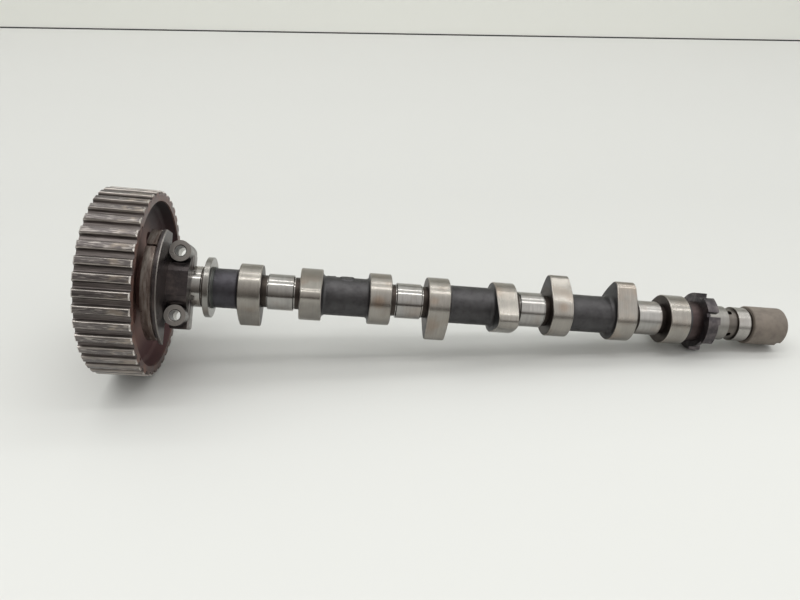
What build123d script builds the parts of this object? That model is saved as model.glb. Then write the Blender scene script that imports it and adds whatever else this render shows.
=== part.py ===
from build123d import *
import os
from math import acos, atan2, cos, degrees, pi, radians, sin, tan

# Camshaft of a four-cylinder, single overhead camshaft engine, with its belt pulley, its
# front bearing cap and its trigger ring, as taken off the engine and laid on a bench.
# Every piece is drawn in the shaft's frame: +X runs along the axis from the pulley's outer
# face to the drive end, and a clock angle is counted from -Y up towards +Z. At the end the
# whole assembly is laid down on the pulley's teeth and the trigger ring. Millimetres.

# ---------- driving dimensions ----------
running_gap = 0.05          # between a journal or seal land and what runs on it
slide_gap = 0.02            # between located pieces, each side

# belt pulley
tooth_count = 40
belt_pitch = 9.525
pitch_line_depth = 0.381    # belt pitch line above the tooth crests
groove_depth = 2.9
groove_floor = 3.2
groove_flank_angle = 20
groove_root_radius = 1.1
crest_radius = 1.1
tooth_end_chamfer = 0.8
pulley_width = 31.6
rim_wall = 3.5
rim_draft = 1.4
web_outer_face = 14.0
web_thickness = 8.5
web_corner_radius = 3.0
hub_diameter = 37.0
hub_length = 15.0
shaft_shoulder = 27.0       # the hub's inner face seats on this step of the shaft
lightening_hole_count = 5
lightening_hole_diameter = 11.0
lightening_circle_radius = 28.5
mark_clocks = (66.0, -27.0)  # the two timing marks in the rim's inner face
mark_width = 2.2
mark_length = 1.9
mark_depth = 0.9

# shaft nose, key, washer and bolt
nose_diameter = 22.0
nose_length = 13.5
nose_chamfer = 1.2
key_width = 4.0
key_disc_radius = 6.5
key_height = 5.0
key_proud = 1.5
key_setback = 6.8           # from the shaft's shoulder to the key's middle
key_top_gap = 0.15
thread_diameter = 12.0
thread_length = 30.0
thread_run_out = 5.0
washer_diameter = 31.0
washer_thickness = 3.5
washer_chamfer = 0.6
washer_hole_gap = 0.4
bolt_flange_diameter = 24.0
bolt_flange_thickness = 1.8
bolt_flange_slope = 0.6
bolt_flange_taper = 2.2
bolt_head_across_flats = 18.0
bolt_head_height = 6.2
bolt_crown_width = 1.2
bolt_crown_drop = 1.4
bolt_tip_chamfer = 1.0

# oil seal
seal_land_diameter = 26.0
seal_bore_diameter = 42.0
seal_setback = 4.4          # from the shaft's shoulder to the seal's outer face
seal_width = 7.0
seal_case_wall = 1.1
seal_case_corner = 0.6
seal_case_lip_diameter = 31.0
rubber_thickness = 1.4      # of the rubber moulded on the case's inside
lip_neck = 3.2              # from the land out to the lip's neck
lip_reach = 5.0             # from the case's flange to the lip's free end
lip_edge = 3.6              # from the case's flange to the sealing edge
lip_clearance = 1.0         # on each side of the sealing edge
dust_lip_reach = 0.8
dust_lip_clearance = 0.2
garter_wire = 1.5
garter_height = 2.9         # from the land out to the spring's middle
garter_setback = 4.7

# front journal and thrust flange
front_journal_gap = 2.2     # between the seal and the journal
front_journal_diameter = 27.0
front_journal_length = 19.9
flange_relief = 2.2
flange_thickness = 3.7
flange_diameter = 39.8
flange_edge_chamfer = 0.25
relief_diameter = 25.2

# front bearing cap, a half bearing; its bolts point along cap_clock
cap_clock = 35.0
cap_block_length = 12.2
cap_block_gap = 1.8         # between the hood's flange and the foot
cap_saddle_height = 19.0
cap_saddle_radius = 20.5
cap_saddle_edge = 1.5
cap_saddle_setback = 1.0      # of the saddle from the foot's rear face
cap_bolt_spacing = 40.8
cap_bolt_setback = 5.2      # from the foot's front edge to the bolts
cap_boss_diameter = 13.4
cap_boss_height = 19.0
cap_spot_face_gap = 1.9
cap_spot_face_depth = 3.2
cap_neck_width = 11.7
cap_neck_height = 13.5
cap_foot_height = 9.5
cap_foot_overhang = 8.4     # past the lower bolt; the foot ends at the upper one
cap_foot_corner = 1.6
cap_foot_edge = 1.0
cap_hole_diameter = 6.8
cap_hole_chamfer = 0.6
cap_dowel_diameter = 9.4
cap_dowel_length = 9.0
cap_dowel_depth = 8.2
cap_dowel_chamfer = 0.4
hood_overhang = 0.8         # of the hood past the seal's outer face
hood_radius = 39.0
hood_wall = 4.5
hood_band_width = 6.0
hood_groove_width = 1.8
hood_groove_depth = 1.6
hood_flange_radius = 41.2
hood_flange_width = 2.2
hood_plate_thickness = 3.6
hood_trim = 12.5            # the hood's ends stop this far short of the split face
hood_upper_reach = 32.0     # its upper end is cut off this far from the cap's middle
hood_notch_turn = 32.0
hood_notch_width = 1.8
hood_notch_depth = 2.0
seal_housing_wall = 4.2

# lobes, one pair to each cylinder, with a bearing journal between them
cylinder_count = 4
cylinder_spacing = 85.1
front_barrel_length = 17.3  # from the thrust flange to the first lobe
lobe_offset = 19.7
lobe_width = 14.8
lobe_side_draft = 0.7       # each side of a lobe leans in this much from base to nose
base_circle_diameter = 34.8
lobe_lift = 8.0
nose_radius = 6.5
flank_radius = 80.0
lobe_edge_chamfer = 0.5
first_lobe_clock = -82.0
lobe_separation = 110.0
cylinder_phases = (0.0, -90.0, 90.0, 180.0)

# shaft body
journal_diameter = 24.0
journal_width = 17.2
journal_chamfer = 0.5
undercut_diameter = 21.4
barrel_diameter = 26.0
barrel_fillet = 2.6
fillet_overlap = 1.0        # the cast fillets reach this far into the barrel
collar_diameter = 27.6
collar_width = 1.4

# trigger ring
ring_neck_length = 10.5     # of the bare shaft between the last lobe and the ring
ring_neck_diameter = 28.6
ring_seat_diameter = 27.6
ring_diameter = 41.2
ring_web_diameter = 36.8
ring_web_thickness = 2.6
prong_thickness = 4.2
# each prong's clock angles, and its length from the ring's outer face
prongs = ((-119.0, -64.0, 8.5), (-17.0, 26.0, 7.3), (26.0, 41.0, 8.5), (51.0, 86.0, 7.9), (111.0, 156.0, 8.1))

# rear lands, oil groove and drive end
land_diameter = 24.4
front_land_length = 18.3    # from the trigger ring to the oil groove
rear_land_length = 9.6
oil_groove_width = 7.6
oil_groove_diameter = 21.8
oil_hole_count = 4
oil_hole_diameter = 3.4
oil_hole_clock = -14.0
oil_hole_offset = 1.2       # of the holes from the groove's middle, towards the lobes
rear_relief_width = 1.9
rear_relief_diameter = 22.4
tail_diameter = 27.2
tail_length = 26.3
tail_chamfer = 1.6
drive_slot_width = 6.0
drive_slot_depth = 4.0
drive_slot_clock = -41.0
gallery_diameter = 7.0
gallery_run_on = 4.6        # of the gallery past the oil groove
plug_diameter = 9.0
plug_setback = 10.0
plug_length = 5.0
plug_wall = 1.0
plug_corner = 0.5
waste = 10.0                # extra length of a cut past the piece it cuts

# ---------- sizes that follow from those ----------
crest_diameter = tooth_count * belt_pitch / pi - 2 * pitch_line_depth
crest_r = crest_diameter / 2
root_r = crest_r - groove_depth
rim_inner_r = root_r - rim_wall
web_inner_face = web_outer_face + web_thickness
lobe_tip_r = base_circle_diameter / 2 + lobe_lift
hub_outer_face = shaft_shoulder - hub_length
nose_start = shaft_shoulder - nose_length
key_station = shaft_shoulder - key_setback
seal_start = shaft_shoulder + seal_setback
seal_end = seal_start + seal_width
front_journal_start = seal_end + front_journal_gap
front_journal_end = front_journal_start + front_journal_length
flange_start = front_journal_end + flange_relief
flange_end = flange_start + flange_thickness
hood_start = seal_start - hood_overhang
hood_groove_start = hood_start + hood_band_width
hood_groove_end = hood_groove_start + hood_groove_width
hood_end = hood_groove_end + hood_flange_width
cap_block_start = hood_end + cap_block_gap
cap_block_end = cap_block_start + cap_block_length
cap_bolt_station = cap_block_start + cap_bolt_setback
first_cylinder = flange_end + front_barrel_length + lobe_width / 2 + lobe_offset
last_cylinder = first_cylinder + (cylinder_count - 1) * cylinder_spacing
ring_start = last_cylinder + lobe_offset + lobe_width / 2 + ring_neck_length
ring_end = ring_start + ring_web_thickness
prong_end = ring_start + max(length for start, end, length in prongs)
oil_groove_start = ring_end + front_land_length
oil_groove_end = oil_groove_start + oil_groove_width
rear_relief_start = oil_groove_end + rear_land_length
tail_start = rear_relief_start + rear_relief_width
shaft_end = tail_start + tail_length
plug_seat = shaft_end - plug_setback


def cylinder(start, end, radius):
    """A solid round bar along X between two stations."""
    return Pos(start, 0, 0) * Rot(0, 90, 0) * Cylinder(
        radius, end - start, align=(Align.CENTER, Align.CENTER, Align.MIN))


def clock(angle):
    """Turns a shape drawn along +Z so that it points along a clock angle."""
    return Rot(90 - angle, 0, 0)


def turned(points, rounded=()):
    """Revolves a section given as (station, radius) about the shaft's axis."""
    face = make_face(Polyline(*[(x, r) for x, r in points], close=True))
    for station, radius, size in rounded:
        corner = face.vertices().sort_by_distance((station, radius, 0))[0]
        face = fillet(corner, size)
    return revolve(Plane.XZ * face, Axis.X)


# ---------- belt pulley: one sintered piece, teeth, rim, web and hub ----------
def groove_profile():
    """One tooth space, open outwards, standing on its floor at the root radius."""
    mouth_r = crest_r + groove_floor
    mouth = groove_floor / 2 + (mouth_r - root_r) * tan(radians(groove_flank_angle))
    floor = groove_floor / 2
    face = make_face(Polyline(
        (root_r, -floor), (root_r, floor), (mouth_r, mouth), (mouth_r, -mouth), close=True))
    inner = face.vertices().group_by(Axis.X)[0]
    return fillet(inner, groove_root_radius)


def toothed_outline():
    """The pulley's outline, with a tooth space straight down once it is laid on the bench."""
    blank = Circle(crest_r)
    spaces = [Rot(0, 0, 360 / tooth_count * i - 90) * groove_profile() for i in range(tooth_count)]
    outline = blank - spaces
    tips = [v for v in outline.vertices() if Vector(v.X, v.Y, 0).length > (crest_r + root_r) / 2]
    return fillet(tips, crest_radius)


def belt_pulley():
    body = extrude(Plane.YZ * toothed_outline(), pulley_width)
    inner_recess = turned(
        [(web_inner_face, 0), (web_inner_face, rim_inner_r - rim_draft),
         (pulley_width, rim_inner_r), (pulley_width + waste, rim_inner_r), (pulley_width + waste, 0)],
        [(web_inner_face, rim_inner_r - rim_draft, web_corner_radius)])
    outer_recess = turned(
        [(-waste, 0), (-waste, rim_inner_r), (0, rim_inner_r),
         (web_outer_face, rim_inner_r - rim_draft), (web_outer_face, 0)],
        [(web_outer_face, rim_inner_r - rim_draft, web_corner_radius)])
    beyond = tooth_end_chamfer + waste
    ends = turned([
        (0, 0), (0, crest_r - tooth_end_chamfer), (beyond, crest_r + waste),
        (pulley_width - beyond, crest_r + waste), (pulley_width, crest_r - tooth_end_chamfer),
        (pulley_width, 0)])
    hub = cylinder(hub_outer_face, shaft_shoulder, hub_diameter / 2)
    body = (body & ends) - inner_recess - outer_recess + hub
    body -= cylinder(-waste, pulley_width, nose_diameter / 2 + slide_gap)
    for i in range(lightening_hole_count):
        hole = Pos(0, 0, lightening_circle_radius) * cylinder(0, pulley_width, lightening_hole_diameter / 2)
        body -= clock(90 + 360 / lightening_hole_count * (i + 0.5)) * hole
    keyway = Box(
        shaft_shoulder, key_width + 2 * slide_gap, nose_diameter / 2 + key_proud + key_top_gap,
        align=(Align.MIN, Align.CENTER, Align.MIN))
    body -= keyway
    for angle in mark_clocks:
        mark = Box(2 * mark_depth, mark_width, 2 * mark_length)
        body -= clock(angle) * Pos(pulley_width, 0, rim_inner_r) * mark
    return body


# ---------- the shaft: one chill-cast piece, its journals, lobes and lands ground ----------
def lobe_outline():
    """Base circle, two curved flanks and the nose, with the nose pointing along +X."""
    base_r = base_circle_diameter / 2
    nose_x = lobe_tip_r - nose_radius
    to_base = flank_radius - base_r
    to_nose = flank_radius - nose_radius
    turn = acos((to_base ** 2 + nose_x ** 2 - to_nose ** 2) / (2 * to_base * nose_x))
    centre = Vector(to_base * cos(turn), to_base * sin(turn))
    on_base = centre.normalized() * -base_r
    nose_centre = Vector(nose_x, 0)
    on_nose = nose_centre + (nose_centre - centre).normalized() * nose_radius
    middle = centre + ((on_base + on_nose) * 0.5 - centre).normalized() * flank_radius
    nose_arc = ThreePointArc(on_nose, (lobe_tip_r, 0), (on_nose.X, -on_nose.Y))
    base_arc = ThreePointArc(on_base, (-base_r, 0), (on_base.X, -on_base.Y))
    lower_flank = ThreePointArc(on_base, middle, on_nose)
    upper_flank = ThreePointArc(
        (on_base.X, -on_base.Y), (middle.X, -middle.Y), (on_nose.X, -on_nose.Y))
    return make_face([nose_arc, base_arc, lower_flank, upper_flank])


def lobe_sides():
    """Everything between the two cast side faces of a lobe, which lean in towards the nose."""
    half = lobe_width / 2
    root = barrel_diameter / 2 + barrel_fillet
    return turned([
        (-half, 0), (-half, root), (lobe_side_draft - half, lobe_tip_r),
        (half - lobe_side_draft, lobe_tip_r), (half, root), (half, 0)])


def lobe(station, angle):
    blank = extrude(Plane.YZ * Rot(0, 0, 180 - angle) * lobe_outline(), lobe_width)
    body = Pos(-lobe_width / 2, 0, 0) * blank & lobe_sides()
    ground = base_circle_diameter / 2 - lobe_edge_chamfer
    rims = [
        edge for edge in body.edges()
        if abs((edge % 0.5).X) < 0.5 and Vector(0, (edge @ 0.5).Y, (edge @ 0.5).Z).length > ground]
    return Pos(station, 0, 0) * chamfer(rims, lobe_edge_chamfer)


def shaft_profile():
    """Stations and radii of everything that is turned, from the nose to the drive end."""
    points = [(nose_start, 0), (nose_start, nose_diameter / 2 - nose_chamfer),
              (nose_start + nose_chamfer, nose_diameter / 2), (shaft_shoulder, nose_diameter / 2),
              (shaft_shoulder, seal_land_diameter / 2), (front_journal_start, seal_land_diameter / 2),
              (front_journal_start, front_journal_diameter / 2),
              (front_journal_end - journal_chamfer, front_journal_diameter / 2),
              (front_journal_end, front_journal_diameter / 2 - journal_chamfer),
              (front_journal_end, relief_diameter / 2), (flange_start, relief_diameter / 2),
              (flange_start, flange_diameter / 2 - flange_edge_chamfer),
              (flange_start + flange_edge_chamfer, flange_diameter / 2),
              (flange_end - flange_edge_chamfer, flange_diameter / 2),
              (flange_end, flange_diameter / 2 - flange_edge_chamfer),
              (flange_end, collar_diameter / 2), (flange_end + collar_width, collar_diameter / 2),
              (flange_end + collar_width, barrel_diameter / 2)]
    for i in range(cylinder_count):
        middle = first_cylinder + i * cylinder_spacing
        left_lobe = middle - lobe_offset
        right_lobe = middle + lobe_offset
        journal_left = middle - journal_width / 2
        journal_right = middle + journal_width / 2
        points += [(left_lobe, barrel_diameter / 2), (left_lobe, undercut_diameter / 2),
                   (journal_left, undercut_diameter / 2),
                   (journal_left, journal_diameter / 2 - journal_chamfer),
                   (journal_left + journal_chamfer, journal_diameter / 2),
                   (journal_right - journal_chamfer, journal_diameter / 2),
                   (journal_right, journal_diameter / 2 - journal_chamfer),
                   (journal_right, undercut_diameter / 2), (right_lobe, undercut_diameter / 2)]
        if i < cylinder_count - 1:
            points.append((right_lobe, barrel_diameter / 2))
    points += [(right_lobe, ring_neck_diameter / 2), (ring_start, ring_neck_diameter / 2),
               (ring_start, ring_seat_diameter / 2), (ring_end, ring_seat_diameter / 2),
               (ring_end, land_diameter / 2), (oil_groove_start, land_diameter / 2),
               (oil_groove_start, oil_groove_diameter / 2),
               (oil_groove_end, oil_groove_diameter / 2),
               (oil_groove_end, land_diameter / 2),
               (rear_relief_start - journal_chamfer, land_diameter / 2),
               (rear_relief_start, land_diameter / 2 - journal_chamfer),
               (rear_relief_start, rear_relief_diameter / 2),
               (tail_start, rear_relief_diameter / 2),
               (tail_start, tail_diameter / 2 - journal_chamfer),
               (tail_start + journal_chamfer, tail_diameter / 2),
               (shaft_end - tail_chamfer, tail_diameter / 2),
               (shaft_end, tail_diameter / 2 - tail_chamfer), (shaft_end, 0)]
    return points


def root_fillet(face_station, side):
    """The cast fillet between a lobe's flat side and the rough barrel beside it."""
    inner = barrel_diameter / 2
    under = inner - fillet_overlap
    outer = inner + barrel_fillet
    end = face_station + side * barrel_fillet
    corner = make_face([
        Line((face_station, under), (end, under)),
        Line((end, under), (end, inner)),
        RadiusArc((end, inner), (face_station, outer), barrel_fillet * side),
        Line((face_station, outer), (face_station, under))])
    return revolve(Plane.XZ * corner, Axis.X)


def camshaft():
    body = turned(shaft_profile())
    for i, phase in enumerate(cylinder_phases):
        middle = first_cylinder + i * cylinder_spacing
        angle = first_lobe_clock + phase
        body += lobe(middle - lobe_offset, angle)
        body += lobe(middle + lobe_offset, angle + lobe_separation)
        body += root_fillet(middle - lobe_offset - lobe_width / 2, -1)
        if i < cylinder_count - 1:
            body += root_fillet(middle + lobe_offset + lobe_width / 2, 1)
    bolt_hole_end = nose_start + thread_length + thread_run_out
    body -= cylinder(nose_start - waste, bolt_hole_end, thread_diameter / 2 + slide_gap)
    body -= woodruff(key_disc_radius + slide_gap, key_width + 2 * slide_gap)
    body -= cylinder(oil_groove_start - gallery_run_on, shaft_end + waste, gallery_diameter / 2)
    body -= cylinder(plug_seat, shaft_end + waste, plug_diameter / 2)
    hole_station = oil_groove_start + oil_groove_width / 2 - oil_hole_offset
    for i in range(oil_hole_count):
        drill = Pos(hole_station, 0, 0) * Cylinder(
            oil_hole_diameter / 2, land_diameter, align=(Align.CENTER, Align.CENTER, Align.MIN))
        body -= clock(oil_hole_clock + 360 / oil_hole_count * i) * drill
    slot = Pos(shaft_end - drive_slot_depth, 0, 0) * Box(
        drive_slot_depth + waste, drive_slot_width, tail_diameter + waste,
        align=(Align.MIN, Align.CENTER, Align.CENTER))
    body -= clock(drive_slot_clock) * slot
    return body


def woodruff(radius, width):
    """A disc set into the top of the nose, of which the key is the lower segment."""
    centre = nose_diameter / 2 + key_proud - key_height + key_disc_radius
    return Pos(key_station, 0, centre) * Rot(90, 0, 0) * Cylinder(radius, width)


# ---------- what holds the pulley on: key, thick washer and flanged hexagon bolt ----------
def pulley_key():
    top = nose_diameter / 2 + key_proud
    above = Pos(key_station, 0, top) * Box(
        4 * key_disc_radius, 2 * key_width, 4 * key_disc_radius,
        align=(Align.CENTER, Align.CENTER, Align.MIN))
    return woodruff(key_disc_radius, key_width) - above


def pulley_washer():
    start = hub_outer_face - washer_thickness
    body = cylinder(start, hub_outer_face, washer_diameter / 2)
    body = chamfer(body.edges().group_by(Axis.X)[0], washer_chamfer)
    return body - cylinder(start - waste, hub_outer_face + waste, thread_diameter / 2 + washer_hole_gap)


def pulley_bolt():
    seat = hub_outer_face - washer_thickness
    flange_start_x = seat - bolt_flange_thickness
    head_start = flange_start_x - bolt_head_height
    hexagon = RegularPolygon(bolt_head_across_flats / 2, 6, major_radius=False)
    head = Pos(head_start, 0, 0) * extrude(Plane.YZ * hexagon, bolt_head_height)
    corner_r = bolt_head_across_flats / 2 / cos(pi / 6)
    crown = turned([
        (head_start, 0), (head_start, corner_r - bolt_crown_width), (head_start + bolt_crown_drop, corner_r),
        (seat, corner_r), (seat, 0)])
    flange_r = bolt_flange_diameter / 2
    slope_start = flange_start_x - bolt_flange_slope
    flange = turned([
        (slope_start, 0), (slope_start, flange_r - bolt_flange_taper), (flange_start_x, flange_r),
        (seat, flange_r), (seat, 0)])
    shank = cylinder(flange_start_x, nose_start + thread_length, thread_diameter / 2)
    shank = chamfer(shank.edges().group_by(Axis.X)[-1], bolt_tip_chamfer)
    return (head & crown) + flange + shank


# ---------- oil seal: pressed steel case, moulded rubber lip and its garter spring ----------
def seal_case():
    outer = seal_bore_diameter / 2 - slide_gap
    inner = outer - seal_case_wall
    end = seal_end - slide_gap
    return turned([
        (seal_start, seal_case_lip_diameter / 2), (seal_start, outer - seal_case_corner),
        (seal_start + seal_case_corner, outer), (end, outer), (end, inner),
        (seal_start + seal_case_wall, inner), (seal_start + seal_case_wall, seal_case_lip_diameter / 2)])


def garter_ring(radius):
    centre = Pos(seal_start + garter_setback, seal_land_diameter / 2 + garter_height)
    section = Plane.XZ * centre * Circle(radius)
    return revolve(section, Axis.X)


def seal_lip():
    case_inner = seal_bore_diameter / 2 - slide_gap - seal_case_wall
    back = seal_start + seal_case_wall
    edge = seal_land_diameter / 2 + running_gap
    body = turned([
        (seal_start, seal_case_lip_diameter / 2), (back, seal_case_lip_diameter / 2), (back, case_inner),
        (back + rubber_thickness, case_inner), (back + rubber_thickness, edge + lip_neck),
        (back + lip_reach, edge + lip_neck), (back + lip_reach, edge + lip_clearance),
        (back + lip_edge, edge), (back + lip_edge / 2, edge + lip_clearance),
        (back + dust_lip_reach, edge + lip_clearance), (seal_start, edge + dust_lip_clearance)])
    return body - garter_ring(garter_wire / 2 + slide_gap)


# ---------- front bearing cap: one aluminium casting, drawn with its split face down ----------
def hood_section():
    housing_r = seal_bore_diameter / 2
    pocket_end = hood_end - hood_plate_thickness
    pocket_inner = housing_r + seal_housing_wall
    pocket_outer = hood_radius - hood_wall
    bore_r = front_journal_diameter / 2 + running_gap
    return [
        (hood_start, housing_r), (hood_start, pocket_inner), (pocket_end, pocket_inner),
        (pocket_end, pocket_outer), (hood_start, pocket_outer), (hood_start, hood_radius),
        (hood_groove_start, hood_radius), (hood_groove_start, hood_radius - hood_groove_depth),
        (hood_groove_end, hood_radius - hood_groove_depth), (hood_groove_end, hood_flange_radius),
        (hood_end, hood_flange_radius), (hood_end, bore_r), (seal_end, bore_r), (seal_end, housing_r)]


def upright(x, y, radius, low, high):
    """A round boss or drill along the cap's bolt axis."""
    return Pos(x, y, low) * Cylinder(
        radius, high - low, align=(Align.CENTER, Align.CENTER, Align.MIN))


def half_round(radius, height):
    """The cross section of the saddle: a half circle with its top cut flat."""
    arch = Circle(radius) & Pos(0, height / 2) * Rectangle(2 * radius, height)
    return fillet(arch.vertices().group_by(Axis.Y)[-1], cap_saddle_edge)


def hood():
    """The half of the turned hood above the split face, with its two ends trimmed."""
    room = 2 * hood_flange_radius
    body = turned(hood_section()) & Box(2 * room, room, room, align=(Align.CENTER, Align.CENTER, Align.MIN))
    housing_r = seal_bore_diameter / 2 + seal_housing_wall
    for side in (-1, 1):
        end = Box(2 * room, room, hood_trim, align=(Align.CENTER, Align.CENTER, Align.MIN))
        body -= Pos(0, side * (housing_r + room / 2), 0) * end
    body -= Pos(0, hood_upper_reach + room / 2, 0) * Box(
        2 * room, room, room, align=(Align.CENTER, Align.CENTER, Align.MIN))
    notch_length = hood_groove_end - hood_start
    notch = Pos(hood_start, 0, hood_radius) * Box(
        notch_length, hood_notch_width, 2 * hood_notch_depth, align=(Align.MIN, Align.CENTER, Align.CENTER))
    return body - Rot(-hood_notch_turn, 0, 0) * notch


def front_bearing_cap():
    saddle = Pos(hood_end - hood_flange_width / 2, 0, 0) * extrude(
        Plane.YZ * half_round(cap_saddle_radius, cap_saddle_height),
        cap_block_end - cap_saddle_setback - hood_end + hood_flange_width / 2)
    foot = Pos(cap_block_start, -cap_bolt_spacing / 2 - cap_foot_overhang, 0) * Box(
        cap_block_length, cap_bolt_spacing + cap_foot_overhang, cap_foot_height,
        align=(Align.MIN, Align.MIN, Align.MIN))
    foot = fillet(foot.edges().filter_by(Axis.Z), cap_foot_corner)
    foot = fillet(foot.edges().group_by(Axis.Z)[-1], cap_foot_edge)
    body = saddle + foot
    spot_face_r = cap_boss_diameter / 2 + cap_spot_face_gap
    spot_face = cap_boss_height - cap_spot_face_depth
    for side in (-1, 1):
        y = side * cap_bolt_spacing / 2
        body += Pos(cap_bolt_station, y / 2, 0) * Box(
            cap_neck_width, cap_bolt_spacing / 2, cap_neck_height,
            align=(Align.CENTER, Align.CENTER, Align.MIN))
        body -= upright(cap_bolt_station, y, spot_face_r, spot_face, cap_saddle_height + waste)
        body += upright(cap_bolt_station, y, cap_boss_diameter / 2, 0, cap_boss_height)
    body += hood()
    body -= cylinder(seal_end, cap_block_end + waste, front_journal_diameter / 2 + running_gap)
    for side in (-1, 1):
        y = side * cap_bolt_spacing / 2
        body -= upright(cap_bolt_station, y, cap_hole_diameter / 2, -waste, cap_boss_height + waste)
        body -= Pos(cap_bolt_station, y, cap_boss_height) * Cone(
            cap_hole_diameter / 2, cap_hole_diameter / 2 + 2 * cap_hole_chamfer, 2 * cap_hole_chamfer)
        body -= upright(cap_bolt_station, y, cap_dowel_diameter / 2 + slide_gap, -waste, cap_dowel_depth)
    return clock(cap_clock) * body


def cap_dowel(side):
    """A rolled hollow dowel round a bolt hole, standing out of the split face."""
    y = side * cap_bolt_spacing / 2
    low = cap_dowel_depth - cap_dowel_length
    body = upright(cap_bolt_station, y, cap_dowel_diameter / 2, low, cap_dowel_depth)
    body -= upright(cap_bolt_station, y, cap_hole_diameter / 2, low - waste, cap_dowel_depth + waste)
    body = chamfer(body.edges().group_by(Axis.Z)[0].sort_by(SortBy.RADIUS)[-1], cap_dowel_chamfer)
    return clock(cap_clock) * body


# ---------- trigger ring: pressed on beside the last lobe, with prongs along the shaft ----------
def ring_sector(start, end):
    """The cross section of a prong between two clock angles."""
    outer = ring_diameter / 2
    inner = outer - prong_thickness
    half = (end - start) / 2
    spoke = sin(radians(half))
    rise = cos(radians(half))
    sector = make_face([
        ThreePointArc((-outer * spoke, outer * rise), (0, outer), (outer * spoke, outer * rise)),
        Line((outer * spoke, outer * rise), (inner * spoke, inner * rise)),
        ThreePointArc((inner * spoke, inner * rise), (0, inner), (-inner * spoke, inner * rise)),
        Line((-inner * spoke, inner * rise), (-outer * spoke, outer * rise))])
    return clock((start + end) / 2) * (Plane.YZ * sector)


def trigger_ring():
    body = cylinder(ring_start, ring_end, ring_web_diameter / 2)
    for start, end, length in prongs:
        body += Pos(ring_start, 0, 0) * extrude(ring_sector(start, end), length, dir=(1, 0, 0))
    return body - cylinder(ring_start - waste, ring_end + waste, ring_seat_diameter / 2 + slide_gap)


# ---------- plug: a pressed steel cup that closes the drilled oil gallery ----------
def gallery_plug():
    outer = plug_diameter / 2 - slide_gap
    end = plug_seat + plug_length
    return turned([
        (plug_seat, 0), (plug_seat, outer - plug_corner), (plug_seat + plug_corner, outer), (end, outer),
        (end, outer - plug_wall), (plug_seat + plug_wall, outer - plug_wall), (plug_seat + plug_wall, 0)])


# ---------- the assembly, laid down on the pulley and the trigger ring ----------
pieces = {
    "camshaft": camshaft(),
    "belt_pulley": belt_pulley(),
    "pulley_key": pulley_key(),
    "pulley_washer": pulley_washer(),
    "pulley_bolt": pulley_bolt(),
    "seal_case": seal_case(),
    "seal_lip": seal_lip(),
    "garter_spring": garter_ring(garter_wire / 2),
    "front_bearing_cap": front_bearing_cap(),
    "upper_cap_dowel": cap_dowel(1),
    "lower_cap_dowel": cap_dowel(-1),
    "trigger_ring": trigger_ring(),
    "gallery_plug": gallery_plug(),
}

# The bench touches the pulley's inner rim edge beside the lowest tooth space, and whichever
# of the trigger ring and the tail comes down first; that line sets the dip of the axis.
flank = radians(groove_flank_angle)
corner_centre = groove_floor / 2 + (groove_depth - crest_radius) * tan(flank) + crest_radius / cos(flank)
pulley_low = ((crest_r - crest_radius) ** 2 - corner_centre ** 2) ** 0.5 + crest_radius
pulley_contact = pulley_width - tooth_end_chamfer
rear_contacts = ((prong_end, ring_diameter / 2), (shaft_end - tail_chamfer, tail_diameter / 2))
dip = min(degrees(atan2(pulley_low - r, x - pulley_contact)) for x, r in rear_contacts)

laid = {name: Rot(0, dip, 0) * shape for name, shape in pieces.items()}
box = Compound([solid for shape in laid.values() for solid in shape.solids()]).bounding_box()
to_origin = Pos(-(box.min.X + box.max.X) / 2, -(box.min.Y + box.max.Y) / 2, -box.min.Z)
os.makedirs("parts", exist_ok=True)
for name, shape in laid.items():
    placed = to_origin * shape
    placed.label = name
    export_step(placed, f"parts/{name}.step")

print("dip", round(dip, 4), "shift", to_origin.position, "size", box.size)
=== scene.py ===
import math

import bmesh
import bpy
from mathutils import Matrix, Vector, noise


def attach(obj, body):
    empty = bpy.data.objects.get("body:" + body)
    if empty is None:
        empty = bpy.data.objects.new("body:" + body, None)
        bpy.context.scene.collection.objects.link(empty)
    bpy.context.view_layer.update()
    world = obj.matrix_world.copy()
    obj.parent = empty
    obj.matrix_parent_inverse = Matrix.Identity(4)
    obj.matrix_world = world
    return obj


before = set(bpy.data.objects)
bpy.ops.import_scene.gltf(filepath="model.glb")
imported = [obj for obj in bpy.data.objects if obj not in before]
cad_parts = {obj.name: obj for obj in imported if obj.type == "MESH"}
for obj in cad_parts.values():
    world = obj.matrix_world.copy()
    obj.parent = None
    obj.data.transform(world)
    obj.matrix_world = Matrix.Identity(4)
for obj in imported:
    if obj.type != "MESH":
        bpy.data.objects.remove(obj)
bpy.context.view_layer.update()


# ---------- camshaft ----------
# One casting of chilled iron, 456 mm long. Its lobes and bearing journals are ground bright and oiled;
# everything between them is left as it came out of the sand, dark and slightly rough.

MM = 0.001
shaft_dip = math.radians(5.9214)            # the axis falls towards the drive end as the part lies
shaft_start = Vector((-231.301, 0.0, 63.0165)) * MM   # where the pulley's outer face meets the axis
shaft_axis = Vector((math.cos(shaft_dip), 0.0, -math.sin(shaft_dip)))
shaft_length = 470.0                        # mm from the pulley's outer face to the drive end
cylinder_count = 4
cylinder_spacing = 85.1
first_cylinder = 110.8                      # mm from the pulley's outer face to the first inner journal's middle
lobe_offset = 19.7                          # mm from there to the middle of each of its two lobes
lobe_width = 14.8
polished_width = 18.6                       # of a journal, 17.2 mm wide, and the walls of its undercuts
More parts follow.
